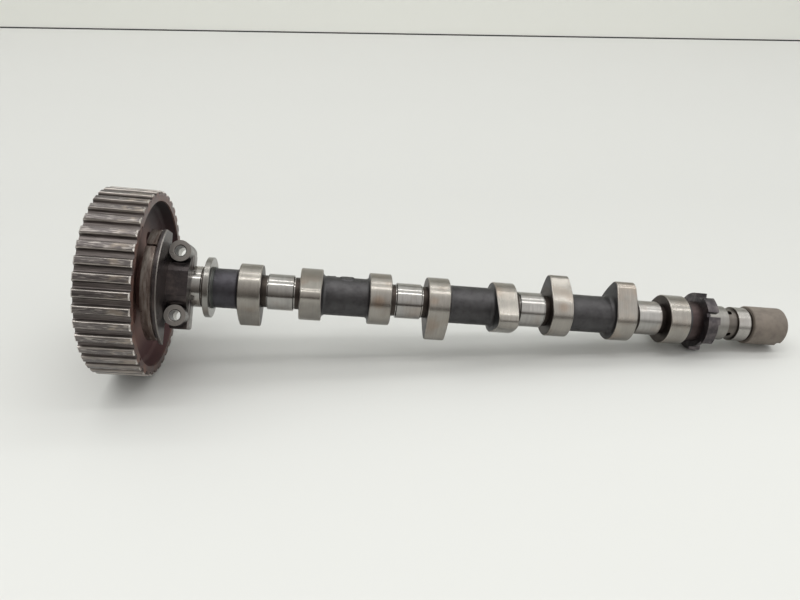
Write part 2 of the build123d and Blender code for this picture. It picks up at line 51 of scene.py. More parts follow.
# stations, in mm from the pulley's outer face too, where one finish gives way to the next
front_journal_start = 40.6
front_journal_end = 60.45
thrust_face_start = 62.65
thrust_face_end = 66.5
fillet_end = 68.2                           # of the collar between the thrust flange and the first barrel
front_end = 75.0
rear_start = 396.0
ring_seat_start = 406.3
groove_start = 424.6
groove_end = 432.2
rear_land_end = 441.8
drive_end_start = 443.65
lobe_inside = 16.9                          # mm from the axis, past every barrel and journal
first_barrel_end = 95.0
dull_start = 240.0                          # from here the journals get duller, as far as dull_end
dull_end = 360.0


def linear(colour):
    """An sRGB hex colour as the linear colour that a socket takes."""
    channels = [int(colour[i:i + 2], 16) / 255 for i in (1, 3, 5)]
    return [c / 12.92 if c <= 0.04045 else ((c + 0.055) / 1.055) ** 2.4 for c in channels] + [1.0]


def add(tree, kind, inputs=(), stops=(), **settings):
    """Adds a node with its settings, a ramp's stops, and its inputs as values or links. An input is
    given by its name or its place: a MapRange's 1 to 4 are From Min, From Max, To Min and To Max."""
    made = tree.nodes.new("ShaderNode" + kind)
    for name, value in settings.items():
        setattr(made, name, value)
    for i, (position, colour) in enumerate(stops):
        elements = made.color_ramp.elements
        stop = elements[i] if i < len(elements) else elements.new(position)
        stop.position = position
        stop.color = colour
    for name, value in dict(inputs).items():
        if isinstance(value, bpy.types.NodeSocket):
            tree.links.new(value, made.inputs[name])
        else:
            made.inputs[name].default_value = value
    return made


def new_finish(name, **values):
    """A material of that name, with its node tree and its shader."""
    material = bpy.data.materials.new(name)
    material.use_nodes = True
    shader = material.node_tree.nodes["Principled BSDF"]
    for socket, value in values.items():
        shader.inputs[socket].default_value = value
    return material, material.node_tree, shader


def shaft_space(tree):
    """Place in mm along and across the shaft, station, distance from the axis, and how squarely
    the surface faces along the shaft."""
    coordinate = add(tree, "TexCoord")
    place = add(tree, "Mapping", {
        "Vector": coordinate.outputs["Object"], "Location": shaft_start,
        "Rotation": (0.0, shaft_dip, 0.0), "Scale": (MM, MM, MM)}, vector_type="TEXTURE").outputs[0]
    split = add(tree, "SeparateXYZ", {"Vector": place})
    across = add(tree, "CombineXYZ", {"Y": split.outputs["Y"], "Z": split.outputs["Z"]})
    radius = add(tree, "VectorMath", {0: across.outputs[0]}, operation="LENGTH").outputs["Value"]
    along = add(tree, "VectorMath", {0: coordinate.outputs["Normal"], 1: shaft_axis}, operation="DOT_PRODUCT")
    facing = add(tree, "Math", {0: along.outputs["Value"]}, operation="ABSOLUTE").outputs[0]
    return place, split.outputs["X"], radius, facing


def tone(colour, roughness):
    """A ramp stop that carries a surface's roughness in its alpha."""
    return (*linear(colour)[:3], roughness)


cast = tone("#4F4E4F", 0.46)
turned = tone("#9D9B97", 0.26)
thrust_face = tone("#8C8A86", 0.25)
polished = tone("#9B9996", 0.15)
undercut = tone("#46403C", 0.42)
collar = tone("#5B5D5C", 0.42)
ground = tone("#95918B", 0.26)
edge = tone("#A19C96", 0.28)
oil_groove = tone("#67625D", 0.38)
neck_skin = tone("#4F4544", 0.44)
ring_land = tone("#8C8A86", 0.38)
rear_land = tone("#9F9C98", 0.27)
drive_end = tone("#776E65", 0.62)

iron, tree, shader = new_finish("chilled cast iron, ground and as cast", Metallic=1.0)
place, station, radius, facing = shaft_space(tree)


def zone_ramp(start, length, zones):
    """Tones along a stretch of the shaft, each from its own station up to the next one."""
    run = add(tree, "Math", {0: station, 1: start}, operation="SUBTRACT")
    share = add(tree, "Math", {0: run.outputs[0], 1: length}, operation="DIVIDE")
    ramp = add(tree, "ValToRGB", {"Fac": share.outputs[0]}, [((s - start) / length, t) for s, t in zones])
    ramp.color_ramp.interpolation = "CONSTANT"
    return ramp


half_pitch = cylinder_spacing / 2
along = add(tree, "Math", {0: station, 1: first_cylinder - half_pitch}, operation="SUBTRACT")
pitch = add(tree, "Math", {0: along.outputs[0], 1: cylinder_spacing}, operation="DIVIDE")
phase = add(tree, "Math", {0: pitch.outputs[0]}, operation="FRACT")
cylinder_zone = add(tree, "ValToRGB", {"Fac": phase.outputs[0]}, [
    (0.0, cast), (0.5 - lobe_offset / cylinder_spacing, undercut),
    (0.5 - polished_width / 2 / cylinder_spacing, polished),
    (0.5 + polished_width / 2 / cylinder_spacing, undercut), (0.5 + lobe_offset / cylinder_spacing, cast)])
cylinder_zone.color_ramp.interpolation = "CONSTANT"
front_zone = zone_ramp(0.0, front_end, [
    (0.0, turned), (front_journal_start, polished), (front_journal_end, undercut),
    (thrust_face_start, thrust_face), (thrust_face_end, collar), (fillet_end, cast)])
rear_zone = zone_ramp(rear_start, shaft_length - rear_start, [
    (rear_start, neck_skin), (ring_seat_start, ring_land), (groove_start, oil_groove),
    (groove_end, rear_land), (rear_land_end, undercut), (drive_end_start, drive_end)])
past_flange = add(tree, "Math", {0: station, 1: front_end}, operation="GREATER_THAN")
past_lobes = add(tree, "Math", {0: station, 1: rear_start}, operation="GREATER_THAN")
colour = add(tree, "Mix", {0: past_flange.outputs[0], 6: front_zone.outputs["Color"],
                           7: cylinder_zone.outputs["Color"]}, data_type="RGBA")
colour = add(tree, "Mix", {0: past_lobes.outputs[0], 6: colour.outputs[2],
                           7: rear_zone.outputs["Color"]}, data_type="RGBA")
# the journals towards the drive end have run duller
dulled = add(tree, "MapRange", {"Value": station, 1: dull_start, 2: dull_end, 3: 0.15, 4: 0.30})
cylinder_finish = add(tree, "Math", {
    0: cylinder_zone.outputs["Alpha"], 1: dulled.outputs[0]}, operation="MAXIMUM")
roughness = add(tree, "Mix", {0: past_flange.outputs[0], 2: front_zone.outputs["Alpha"],
                              3: cylinder_finish.outputs[0]})
roughness = add(tree, "Mix", {0: past_lobes.outputs[0], 2: roughness.outputs[0], 3: rear_zone.outputs["Alpha"]})
lobe_zone = add(tree, "ValToRGB", {"Fac": facing}, [(0.0, ground), (0.4, edge), (0.93, cast)])
lobe_zone.color_ramp.interpolation = "CONSTANT"
past_base = add(tree, "Math", {0: radius, 1: lobe_inside}, operation="GREATER_THAN")
before_ring = add(tree, "Math", {0: station, 1: rear_start}, operation="LESS_THAN")
lobed = add(tree, "Math", {0: past_flange.outputs[0], 1: before_ring.outputs[0]}, operation="MULTIPLY")
on_lobe = add(tree, "Math", {0: past_base.outputs[0], 1: lobed.outputs[0]}, operation="MULTIPLY")
colour = add(tree, "Mix", {
    0: on_lobe.outputs[0], 6: colour.outputs[2], 7: lobe_zone.outputs["Color"]}, data_type="RGBA")
roughness = add(tree, "Mix", {
    0: on_lobe.outputs[0], 2: roughness.outputs[0], 3: lobe_zone.outputs["Alpha"]})
roughness = roughness.outputs[0]
# a stain about 12 mm across, and grinding lines 1 mm apart, which is coarser than the real ones
stain = add(tree, "TexNoise", {"Vector": place, "Scale": 0.08, "Detail": 3.0, "Roughness": 0.6})
stained = add(tree, "MapRange", {"Value": stain.outputs["Fac"], 1: 0.3, 2: 0.7, 3: 0.86, 4: 1.08})
lines_place = add(tree, "Mapping", {"Vector": place, "Scale": (1.0, 0.05, 0.05)})
lines = add(tree, "TexNoise", {"Vector": lines_place.outputs[0], "Scale": 1.0, "Detail": 2.0})
lined = add(tree, "MapRange", {"Value": lines.outputs["Fac"], 1: 0.35, 2: 0.65, 3: 0.94, 4: 1.04})
# place in mm across the shaft's own axes, and reach, of the darkest tan spots
tan_spots = (((175.0, -18.0, 8.0), 7.0), ((211.5, -17.0, 12.0), 6.0), ((300.5, -16.0, 14.0), 7.0))
# where the running surfaces ran hot the oil has left a tan film, in patches about 15 mm across
film = add(tree, "TexNoise", {"Vector": place, "Scale": 0.065, "Detail": 2.0, "W": 3.0}, noise_dimensions="4D")
filmed = add(tree, "MapRange", {"Value": film.outputs["Fac"], 1: 0.52, 2: 0.72, 3: 0.0, 4: 0.45})
filmed = filmed.outputs[0]
for spot_place, spot_size in tan_spots:
    away = add(tree, "VectorMath", {0: place, 1: spot_place}, operation="DISTANCE")
    spot = add(tree, "MapRange", {
        "Value": away.outputs["Value"], 1: 0.3 * spot_size, 2: spot_size, 3: 0.75, 4: 0.0},
        interpolation_type="SMOOTHSTEP")
    filmed = add(tree, "Math", {0: filmed, 1: spot.outputs[0]}, operation="MAXIMUM").outputs[0]
bare = add(tree, "MapRange", {"Value": roughness, 1: 0.30, 2: 0.40, 3: 1.0, 4: 0.0})
film_share = add(tree, "Math", {0: filmed, 1: bare.outputs[0]}, operation="MULTIPLY")
tan = add(tree, "Mix", {0: film_share.outputs[0], 6: colour.outputs[2], 7: linear("#8F7C6C")}, data_type="RGBA")
# the cast skin is mottled dark in patches 3 mm and 10 mm across
castness = add(tree, "MapRange", {"Value": roughness, 1: 0.43, 2: 0.455})
lined = add(tree, "Mix", {0: castness.outputs[0], 2: lined.outputs[0], 3: 1.0})
shade = add(tree, "Math", {0: stained.outputs[0], 1: lined.outputs[0]}, operation="MULTIPLY")
mottle = add(tree, "TexNoise", {"Vector": place, "Scale": 0.16, "Detail": 5.0, "Roughness": 0.7})
mottled = add(tree, "ValToRGB", {"Fac": mottle.outputs["Fac"]}, [
    (0.32, linear("#E2E0E1")), (0.5, linear("#F8F8F8")), (0.68, linear("#FFFFFF"))])
# the first barrel is a little bluer than the others
first_barrel = add(tree, "MapRange", {"Value": station, 1: first_barrel_end + 5.0, 2: first_barrel_end - 5.0})
hue = add(tree, "Mix", {0: first_barrel.outputs[0], 6: linear("#FFFFFF"), 7: linear("#F6F5FF")},
          data_type="RGBA")
mottled = add(tree, "Mix", {0: 1.0, 6: mottled.outputs["Color"], 7: hue.outputs[2]}, data_type="RGBA",
              blend_type="MULTIPLY")
skin = add(tree, "Mix", {0: castness.outputs[0], 6: linear("#FFFFFF"), 7: mottled.outputs[2]},
           data_type="RGBA")
tinted = add(tree, "Mix", {0: 1.0, 6: tan.outputs[2], 7: skin.outputs[2]}, data_type="RGBA",
             blend_type="MULTIPLY")
shaded = add(tree, "VectorMath", {0: tinted.outputs[2], "Scale": shade.outputs[0]}, operation="SCALE")
tree.links.new(shaded.outputs[0], shader.inputs["Base Color"])
tree.links.new(roughness, shader.inputs["Roughness"])
# the drive end is browned all over, so it shines less like metal
metal = add(tree, "MapRange", {"Value": roughness, 1: 0.55, 2: 0.58, 3: 1.0, 4: 0.1})
tree.links.new(metal.outputs[0], shader.inputs["Metallic"])
# sand grain 0.8 mm across, only where the skin is as cast
grain = add(tree, "TexNoise", {"Vector": place, "Scale": 1.2, "Detail": 4.0, "Roughness": 0.65})
rise = add(tree, "Math", {0: grain.outputs["Fac"], 1: castness.outputs[0]}, operation="MULTIPLY")
bump = add(tree, "Bump", {"Height": rise.outputs[0], "Distance": 0.1 * MM, "Strength": 1.0})
tree.links.new(bump.outputs[0], shader.inputs["Normal"])
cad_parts["camshaft"].data.materials[0] = iron


# ---------- cast skin of the barrels ----------
# The four barrels and the neck beside the trigger ring were never machined. Each keeps the uneven skin of
# its sand mould. The second also has the oval witness of a feeder, a ridge of flash beside it and two pits,
# and the first a few flecks.

skin_depth = 0.6                            # mm that a skin's inside lies under the barrel
skin_pitch = 0.55                           # mm between the points of its outside
# station, angle from straight up towards the front, half length, half width and height of each mark
marks = ((153.8, -14.0, 4.8, 4.0, 0.75), (143.3, -26.0, 2.9, 1.2, 0.45), (68.9, 12.0, 0.8, 0.7, 0.25),
         (69.8, 24.0, 0.8, 0.6, 0.22), (68.3, 26.0, 0.6, 0.8, 0.20), (68.6, 38.0, 1.0, 0.6, 0.25),
         (161.9, 50.0, 0.7, 0.7, -0.18), (153.3, 42.0, 0.6, 0.6, -0.18))
barrel_radius = 13.0
neck_radius = 14.3
collar_end = 67.8                           # station of the thrust flange's collar
ring_face = 404.2                           # station inside the trigger ring's web
# mm from a cylinder's middle to just inside the outer sides of its lobes
lobe_reach = lobe_offset + lobe_width / 2 - 0.8
lay_down = Matrix.Rotation(shaft_dip, 3, "Y")


def cast_relief(station, turn, bare_radius):
    """Radius of the cast skin at a station and an angle from straight up."""
    across = Vector((station, -bare_radius * math.sin(turn), bare_radius * math.cos(turn)))
    height = 0.10 * noise.fractal(across * 0.16, 0.8, 2.0, 4) + 0.05 * noise.fractal(across * 0.9, 0.9, 2.0, 3)
    for mark_station, mark_turn, half_length, half_width, rise in marks:
        aside = (turn - math.radians(mark_turn) + math.pi) % (2 * math.pi) - math.pi
        reach = math.hypot((station - mark_station) / half_length, aside * bare_radius / half_width)
        ramp = min(max((1.1 - reach) / 0.2, 0.0), 1.0)
        dish = 1.0 - 0.5 * max(0.0, 1.0 - reach)
        height += rise * dish * ramp * ramp * (3.0 - 2.0 * ramp)
    return bare_radius + height


def cast_skin(name, start, end, bare_radius):
    """A closed tube round a barrel, its outside uneven and its inside sunk in the shaft."""
    around = round(2 * math.pi * bare_radius / skin_pitch)
    along = round((end - start) / skin_pitch)
    tube = bmesh.new()
    bmesh.ops.create_grid(tube, x_segments=along, y_segments=around, size=0.5)
    for vertex in tube.verts:
        station = start + (vertex.co.x + 0.5) * (end - start)
        turn = (vertex.co.y + 0.5) * 2 * math.pi
        reach = cast_relief(station, turn, bare_radius)
        vertex.co = (station, -reach * math.sin(turn), reach * math.cos(turn))
    bmesh.ops.remove_doubles(tube, verts=tube.verts, dist=0.001)
    rims = [e for e in tube.edges if e.is_boundary]
    inner = bmesh.ops.extrude_edge_only(tube, edges=rims)["geom"]
    for vertex in [g for g in inner if isinstance(g, bmesh.types.BMVert)]:
        across = Vector((0.0, vertex.co.y, vertex.co.z))
        vertex.co = Vector((vertex.co.x, 0.0, 0.0)) + across.normalized() * (bare_radius - skin_depth)
    bmesh.ops.bridge_loops(tube, edges=[e for e in tube.edges if e.is_boundary])
    for vertex in tube.verts:
        vertex.co = shaft_start + (lay_down @ vertex.co) * MM
    bmesh.ops.recalc_face_normals(tube, faces=tube.faces)
    for face in tube.faces:
        face.smooth = True
    mesh = bpy.data.meshes.new(name)
    tube.to_mesh(mesh)
    tube.free()
    piece = bpy.data.objects.new(name, mesh)
    bpy.context.scene.collection.objects.link(piece)
    mesh.materials.append(iron)
    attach(piece, "root")


cast_skin("cast_skin_1", collar_end - 0.4, first_cylinder - lobe_reach, barrel_radius)
for i in range(1, cylinder_count):
    cast_skin(f"cast_skin_{i + 1}", first_cylinder + (i - 1) * cylinder_spacing + lobe_reach,
              first_cylinder + i * cylinder_spacing - lobe_reach, barrel_radius)
last_cylinder = first_cylinder + (cylinder_count - 1) * cylinder_spacing
cast_skin("cast_skin_neck", last_cylinder + lobe_reach, ring_face, neck_radius)


# ---------- belt pulley ----------
# A toothed wheel pressed and sintered from iron powder, dark with oil. The corners of its teeth are painted
# bright, partly as wear from the belt and partly as a painted highlight; the belt has rubbed tan patches on the
# inner ends, and red-brown oil has baked onto its inside.

crest_radius = 60.26
root_radius = 57.36
worn_start = 19.0                           # mm from the outer face to where the tan patches begin
recess_start = 20.0                         # mm from the outer face, inside the web, and to the rim's inner end
recess_end = 30.9
recess_top = 40.0                           # height above the axis where the recess's painted shade is darkest
recess_foot = -30.0                         # and where that painted shade is lightest and the colour reddest
recess_far = 25.0                           # mm behind the axis, from where painted light pales the recess towards the near side
recess_near = 10.0
near_strip = 26.0                           # half the height of the palest strip of painted light, at the recess's near side

sintered, tree, shader = new_finish("oiled sintered iron")
place, station, radius, facing = shaft_space(tree)
depth = add(tree, "MapRange", {"Value": radius, 1: root_radius, 2: crest_radius})
# wear and painted highlight: the upper flanks and rounded corners of the teeth are painted bright, the very
# crests darker
tooth = add(tree, "ValToRGB", {"Fac": depth.outputs[0]}, [
    (0.0, tone("#6A6462", 0.42)), (0.5, tone("#5E5856", 0.40)), (0.66, tone("#ABA6A1", 0.28)),
    (0.92, tone("#A7A19C", 0.30)), (0.985, tone("#676261", 0.40))])
# streaks 1 mm wide along the teeth, where the belt slid on and off
streak_place = add(tree, "Mapping", {"Vector": place, "Scale": (0.07, 1.0, 1.0)})
streak = add(tree, "TexNoise", {
    "Vector": streak_place.outputs[0], "Scale": 1.0, "Detail": 4.0, "Roughness": 0.65})
streaked = add(tree, "MapRange", {"Value": streak.outputs["Fac"], 1: 0.3, 2: 0.7, 3: 0.5, 4: 1.45})
teeth = add(tree, "VectorMath", {0: tooth.outputs["Color"], "Scale": streaked.outputs[0]}, operation="SCALE")
# thin bright scratches along the crests, 0.6 mm wide
scratch_place = add(tree, "Mapping", {"Vector": place, "Scale": (0.16, 1.7, 1.7)})
scratch = add(tree, "TexNoise", {"Vector": scratch_place.outputs[0], "Scale": 1.0, "Detail": 2.0})
scratched = add(tree, "MapRange", {"Value": scratch.outputs["Fac"], 1: 0.56, 2: 0.64, 3: 0.0, 4: 0.6})
# tan patches 8 mm long and 3 mm wide
patch_place = add(tree, "Mapping", {
    "Vector": place, "Scale": (0.12, 0.35, 0.35), "Location": (3.0, 0.0, 0.0)})
patch = add(tree, "TexNoise", {"Vector": patch_place.outputs[0], "Scale": 1.0, "Detail": 3.0})
patchy = add(tree, "MapRange", {"Value": patch.outputs["Fac"], 1: 0.45, 2: 0.6, 3: 0.0, 4: 0.5})
inwards = add(tree, "MapRange", {"Value": station, 1: worn_start - 1.5, 2: worn_start + 1.5})
on_crest = add(tree, "MapRange", {"Value": depth.outputs[0], 1: 0.85, 2: 0.97})
worn = add(tree, "Math", {0: patchy.outputs[0], 1: inwards.outputs[0]}, operation="MULTIPLY")
worn = add(tree, "Math", {0: worn.outputs[0], 1: on_crest.outputs[0]}, operation="MULTIPLY")
teeth = add(tree, "Mix", {0: worn.outputs[0], 6: teeth.outputs[0], 7: linear("#A5998B")}, data_type="RGBA")
scratched = add(tree, "Math", {0: scratched.outputs[0], 1: on_crest.outputs[0]}, operation="MULTIPLY")
teeth = add(tree, "Mix", {0: scratched.outputs[0], 6: teeth.outputs[2], 7: linear("#B9B3AD")}, data_type="RGBA")
# the bevelled tooth ends are painted bright in speckles, a painted highlight where their chamfers catch the
# light
bevelled = add(tree, "ValToRGB", {"Fac": facing}, [
    (0.0, linear("#000000")), (0.5, linear("#000000")), (0.6, linear("#FFFFFF")), (0.8, linear("#FFFFFF")),
    (0.9, linear("#000000"))])
glint_noise = add(tree, "TexNoise", {"Vector": place, "Scale": 0.6, "Detail": 2.0})
glint_speckles = add(tree, "MapRange", {"Value": glint_noise.outputs["Fac"], 1: 0.45, 2: 0.55})
end_glint = add(tree, "Math", {0: bevelled.outputs["Color"], 1: glint_speckles.outputs[0]}, operation="MULTIPLY")
teeth = add(tree, "Mix", {0: end_glint.outputs[0], 6: teeth.outputs[2], 7: linear("#CFCAC5")}, data_type="RGBA")
# baked oil in patches about 8 mm across
blotch = add(tree, "TexNoise", {"Vector": place, "Scale": 0.12, "Detail": 4.0, "Roughness": 0.6})
baked_oil_and_shade = add(tree, "ValToRGB", {"Fac": blotch.outputs["Fac"]}, [
    (0.3, linear("#3C2D2D")), (0.5, linear("#573E38")), (0.7, linear("#75554A"))])
# inside the recess it is painted nearly black round the top as painted shade, lighter and redder lower down, and
# palest at the near side as painted light
across = add(tree, "SeparateXYZ", {"Vector": place})
below_top_shade = add(tree, "MapRange", {"Value": across.outputs["Z"], 1: recess_top, 2: recess_foot})
near = add(tree, "MapRange", {"Value": across.outputs["Y"], 1: recess_far, 2: recess_near})
level = add(tree, "Math", {0: across.outputs["Z"]}, operation="ABSOLUTE")
level = add(tree, "MapRange", {"Value": level.outputs[0], 1: recess_top, 2: near_strip})
near = add(tree, "Math", {0: near.outputs[0], 1: level.outputs[0]}, operation="MULTIPLY")
recess = add(tree, "Mix", {0: below_top_shade.outputs[0], 6: linear("#2E2627"), 7: linear("#54393A")},
             data_type="RGBA")
recess = add(tree, "Mix", {0: near.outputs[0], 6: recess.outputs[2], 7: linear("#74564F")},
             data_type="RGBA")
in_recess = add(tree, "MapRange", {"Value": station, 1: recess_end, 2: recess_end - 0.5})
past_web = add(tree, "Math", {0: station, 1: recess_start}, operation="GREATER_THAN")
in_recess = add(tree, "Math", {0: in_recess.outputs[0], 1: past_web.outputs[0]}, operation="MULTIPLY")
# inside the recess the baked oil's colour gives way to that painted shade and light
baked_oil_and_shade = add(tree, "Mix", {0: in_recess.outputs[0], 6: baked_oil_and_shade.outputs["Color"], 7: recess.outputs[2]},
            data_type="RGBA")
end_face = add(tree, "MapRange", {"Value": facing, 1: 0.85, 2: 0.95})
inside = add(tree, "MapRange", {"Value": radius, 1: root_radius - 1.0, 2: root_radius - 2.0})
oily = add(tree, "Math", {0: end_face.outputs[0], 1: inside.outputs[0]}, operation="MAXIMUM")
colour = add(tree, "Mix", {0: oily.outputs[0], 6: teeth.outputs[2], 7: baked_oil_and_shade.outputs[2]}, data_type="RGBA")
tree.links.new(colour.outputs[2], shader.inputs["Base Color"])
gloss = add(tree, "MapRange", {"Value": blotch.outputs["Fac"], 1: 0.3, 2: 0.7, 3: 0.30, 4: 0.46})
# the oil in the recess has dried dull
dulled = add(tree, "Mix", {0: in_recess.outputs[0], 2: gloss.outputs[0], 3: 0.62})
roughness = add(tree, "Mix", {0: oily.outputs[0], 2: tooth.outputs["Alpha"], 3: dulled.outputs[0]})
tree.links.new(roughness.outputs[0], shader.inputs["Roughness"])
metal = add(tree, "MapRange", {"Value": oily.outputs[0], 3: 0.9, 4: 0.3})
tree.links.new(metal.outputs[0], shader.inputs["Metallic"])
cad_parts["belt_pulley"].data.materials[0] = sintered


# ---------- bolt, washer and bright steel parts ----------
# A flanged hexagon bolt and a thick washer, both zinc plated, hold the pulley on the nose. Its Woodruff key,
# the oil seal's pressed case and spring, the cap's hollow dowels and the gallery's plug are bright steel.

plated, tree, shader = new_finish("zinc plated steel", Metallic=1.0, Roughness=0.38)
place = shaft_space(tree)[0]
# the plating has bloomed in clouds 2 mm across
bloom = add(tree, "TexNoise", {"Vector": place, "Scale": 0.5, "Detail": 4.0})
colour = add(tree, "ValToRGB", {"Fac": bloom.outputs["Fac"]}, [
    (0.35, linear("#7E7A6C")), (0.65, linear("#A5A193"))])
tree.links.new(colour.outputs["Color"], shader.inputs["Base Color"])
for name in ("pulley_bolt", "pulley_washer"):
    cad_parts[name].data.materials[0] = plated

bright, tree, shader = new_finish("bright drawn steel", Metallic=1.0, Roughness=0.25)
place = shaft_space(tree)[0]
# a thin film of oil, uneven over 2.5 mm
film = add(tree, "TexNoise", {"Vector": place, "Scale": 0.4, "Detail": 3.0})
colour = add(tree, "ValToRGB", {"Fac": film.outputs["Fac"]}, [
    (0.3, linear("#93918C")), (0.7, linear("#B8B6B1"))])
tree.links.new(colour.outputs["Color"], shader.inputs["Base Color"])
for name in ("pulley_key", "seal_case", "garter_spring", "upper_cap_dowel", "lower_cap_dowel", "gallery_plug"):
    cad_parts[name].data.materials[0] = bright


# ---------- oil seal lip ----------
# Dark brown fluorinated rubber, moulded into the steel case. Its edge runs on the seal land of the shaft,
# and the spring round it keeps it there.

rubber, tree, shader = new_finish("moulded brown-black rubber", Roughness=0.55)
place = shaft_space(tree)[0]
dust = add(tree, "TexNoise", {"Vector": place, "Scale": 1.0, "Detail": 3.0})
colour = add(tree, "ValToRGB", {"Fac": dust.outputs["Fac"]}, [
    (0.3, linear("#2A1D18")), (0.7, linear("#3A2A24"))])
tree.links.new(colour.outputs["Color"], shader.inputs["Base Color"])
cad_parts["seal_lip"].data.materials[0] = rubber


# ---------- front bearing cap ----------
# An aluminium casting stained dark by hot oil, with a baked red-brown varnish on the hood round the oil
# seal. Its boss tops and the hood's flange edge are machined, painted shade darkens the feet of the bosses, and
# the rear faces of the boss pillars are lighter.

cap_clock = math.radians(35.0)              # the bolts' direction, measured up from level towards the front
cap_boss_height = 19.0
bolt_station = 47.6
bolt_reach = 20.4                           # mm from the cap's middle to each bolt
boss_radius = 6.4
boss_shade_reach = 10.5                           # mm from a bolt's axis to where the painted shade round its boss ends
saddle_reach = 12.5                         # mm from the cap's middle to the foot of each boss pillar
hood_end = 40.6
hood_groove_start = 36.6
hood_flange_radius = 41.2
block_start = 42.4
block_end = 54.6

alloy, tree, shader = new_finish("oil-stained cast aluminium", Metallic=0.75)
place, station, radius, _ = shaft_space(tree)
height = add(tree, "VectorMath", {0: place, 1: (0.0, -math.cos(cap_clock), math.sin(cap_clock))},
             operation="DOT_PRODUCT").outputs["Value"]
aside = add(tree, "VectorMath", {0: place, 1: (0.0, math.sin(cap_clock), math.cos(cap_clock))},
            operation="DOT_PRODUCT")
aside = add(tree, "Math", {0: aside.outputs["Value"]}, operation="ABSOLUTE").outputs[0]
# the sand skin, blotched about 10 mm across, and grainy
blotch = add(tree, "TexNoise", {"Vector": place, "Scale": 0.11, "Detail": 5.0, "Roughness": 0.65})
skin = add(tree, "ValToRGB", {"Fac": blotch.outputs["Fac"]}, [
    (0.3, linear("#353132")), (0.5, linear("#433D3D")), (0.7, linear("#5C5350"))])
# the varnish has run round the hood in streaks about 3 mm wide
run_place = add(tree, "Mapping", {"Vector": place, "Scale": (0.3, 0.05, 0.05)})
run = add(tree, "TexNoise", {"Vector": run_place.outputs[0], "Scale": 1.0, "Detail": 4.0, "Roughness": 0.6})
varnish = add(tree, "ValToRGB", {"Fac": run.outputs["Fac"]}, [
    (0.36, linear("#54463F")), (0.5, linear("#7D7069")), (0.64, linear("#A39A92"))])
on_hood = add(tree, "MapRange", {"Value": station, 1: hood_groove_start + 0.2, 2: hood_groove_start})
colour = add(tree, "Mix", {0: on_hood.outputs[0], 6: skin.outputs["Color"], 7: varnish.outputs["Color"]},
             data_type="RGBA")
# painted shade: a dark crescent round the foot of each boss, for the shadow that falls there
across_boss = add(tree, "Math", {0: aside, 1: bolt_reach}, operation="SUBTRACT")
along_boss = add(tree, "Math", {0: station, 1: bolt_station}, operation="SUBTRACT")
from_bolt = add(tree, "CombineXYZ", {"X": across_boss.outputs[0], "Y": along_boss.outputs[0]})
from_bolt = add(tree, "VectorMath", {0: from_bolt.outputs[0]}, operation="LENGTH").outputs["Value"]
beyond = add(tree, "MapRange", {"Value": from_bolt, 1: boss_radius, 2: boss_shade_reach, 3: 0.45, 4: 1.0})
low = add(tree, "Math", {0: height, 1: cap_boss_height - 1.5}, operation="LESS_THAN")
off_hood = add(tree, "Math", {0: station, 1: hood_end - 2.0}, operation="GREATER_THAN")
shade_zone = add(tree, "Math", {0: low.outputs[0], 1: off_hood.outputs[0]}, operation="MULTIPLY")
boss_shade = add(tree, "Mix", {0: shade_zone.outputs[0], 2: 1.0, 3: beyond.outputs[0]})
colour = add(tree, "VectorMath", {0: colour.outputs[2], "Scale": boss_shade.outputs[0]}, operation="SCALE")
# the rear faces of the boss pillars are lighter, but not that of the saddle between them
rear = add(tree, "MapRange", {"Value": station, 1: block_end - 1.6, 2: block_end - 0.4, 3: 0.0, 4: 0.8})
off_saddle = add(tree, "MapRange", {"Value": aside, 1: saddle_reach - 1.0, 2: saddle_reach + 0.5})
lighter_rear = add(tree, "Math", {0: rear.outputs[0], 1: off_saddle.outputs[0]}, operation="MULTIPLY")
colour = add(tree, "Mix", {0: lighter_rear.outputs[0], 6: colour.outputs[0], 7: linear("#8F8B88")}, data_type="RGBA")
# machined: the tops of the bosses and the edge of the hood's flange
top = add(tree, "Math", {0: height, 1: cap_boss_height - 0.25}, operation="GREATER_THAN")
on_boss = add(tree, "Math", {0: from_bolt, 1: boss_radius + 0.4}, operation="LESS_THAN")
top = add(tree, "Math", {0: top.outputs[0], 1: on_boss.outputs[0]}, operation="MULTIPLY")
past_edge = add(tree, "Math", {0: radius, 1: hood_flange_radius - 0.35}, operation="GREATER_THAN")
worn_edge = add(tree, "Math", {0: station, 1: hood_end - 0.7}, operation="GREATER_THAN")
flange_edge = add(tree, "Math", {0: past_edge.outputs[0], 1: worn_edge.outputs[0]}, operation="MULTIPLY")
off_block = add(tree, "Math", {0: station, 1: block_start}, operation="LESS_THAN")
flange_edge = add(tree, "Math", {0: flange_edge.outputs[0], 1: off_block.outputs[0]}, operation="MULTIPLY")
cut = add(tree, "Math", {0: top.outputs[0], 1: flange_edge.outputs[0]}, operation="MAXIMUM")
colour = add(tree, "Mix", {0: cut.outputs[0], 6: colour.outputs[2], 7: linear("#84807C")}, data_type="RGBA")
tree.links.new(colour.outputs[2], shader.inputs["Base Color"])
gloss = add(tree, "MapRange", {"Value": blotch.outputs["Fac"], 1: 0.3, 2: 0.7, 3: 0.25, 4: 0.42})
tree.links.new(gloss.outputs[0], shader.inputs["Roughness"])
grain = add(tree, "TexNoise", {"Vector": place, "Scale": 1.0, "Detail": 4.0, "Roughness": 0.6})
bump = add(tree, "Bump", {"Height": grain.outputs["Fac"], "Distance": 0.15 * MM, "Strength": 0.7})
tree.links.new(bump.outputs[0], shader.inputs["Normal"])
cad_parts["front_bearing_cap"].data.materials[0] = alloy


# ---------- trigger ring ----------
# A thin steel ring with five prongs bent over along the shaft, pressed on beside the last lobe. Its
# blue-black oxide skin is nearly matt.

oxide, tree, shader = new_finish("blue-black oxidised steel", Metallic=0.9, Roughness=0.37)
place = shaft_space(tree)[0]
